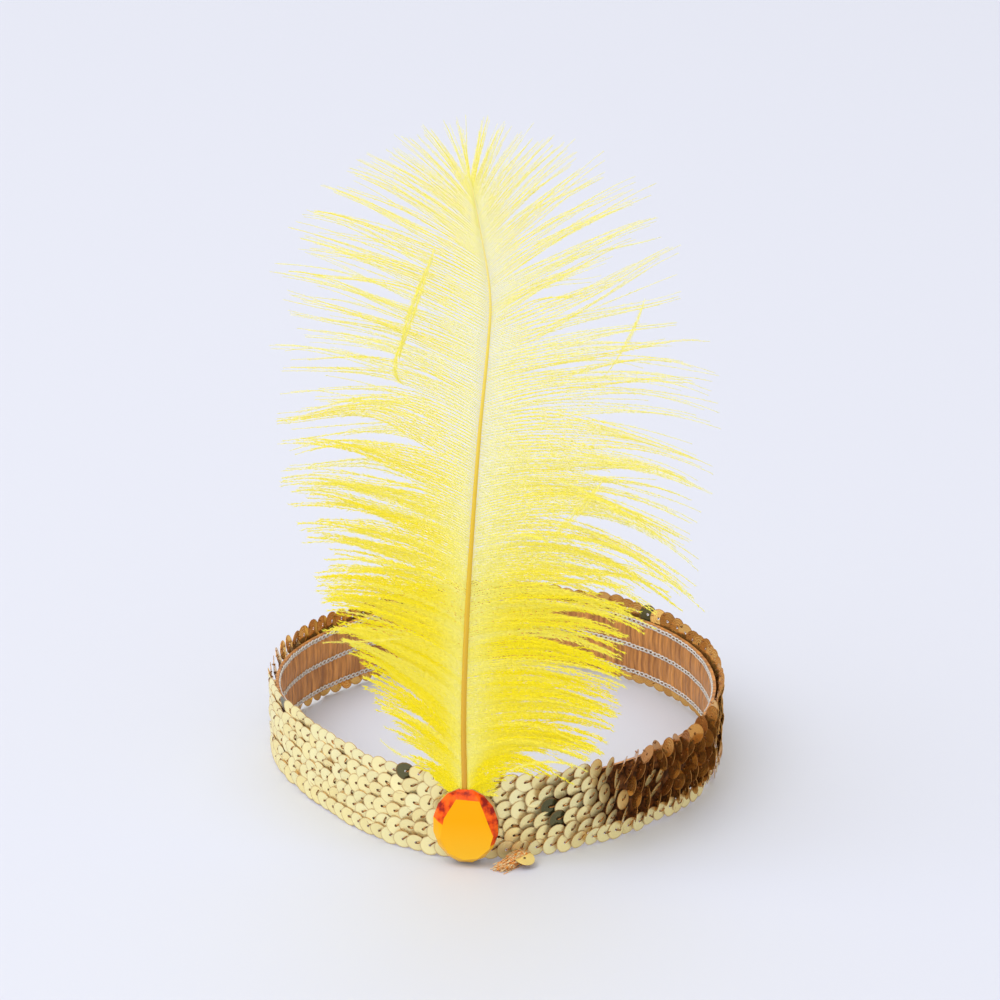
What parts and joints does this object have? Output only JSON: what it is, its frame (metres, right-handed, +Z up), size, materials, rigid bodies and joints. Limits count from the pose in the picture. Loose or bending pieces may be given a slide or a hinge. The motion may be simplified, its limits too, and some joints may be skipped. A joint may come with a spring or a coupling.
{
  "type": "flapper feather headband",
  "caption": "Elastic ring covered in rows of overlapping gold sequins, with an oval amber stone at the front and a tall yellow ostrich plume standing behind it.",
  "frame": {"origin": "on the surface it stands on, under the middle of its outline seen from above", "axes": "+Z up along the plume; -Y to the front, where the stone and the plume are; +X to the right seen from the front"},
  "size_m": [0.1464, 0.1576, 0.2353],
  "materials": {
    "elastic": "copper-brown satin elastic tape",
    "sequins": "pale gold metallised discs",
    "stone": "polished amber, foil backed",
    "plume": "soft yellow dyed ostrich barbs",
    "tail": "frayed copper threads"
  },
  "bodies": {
    "root": {"elastic_band": "elastic", "sequin_row_lower": "sequins", "sequin_row_middle": "sequins", "sequin_row_upper": "sequins", "stone": "stone", "ostrich_plume": "plume", "seam_tail": "tail"}
  },
  "joints": []
}
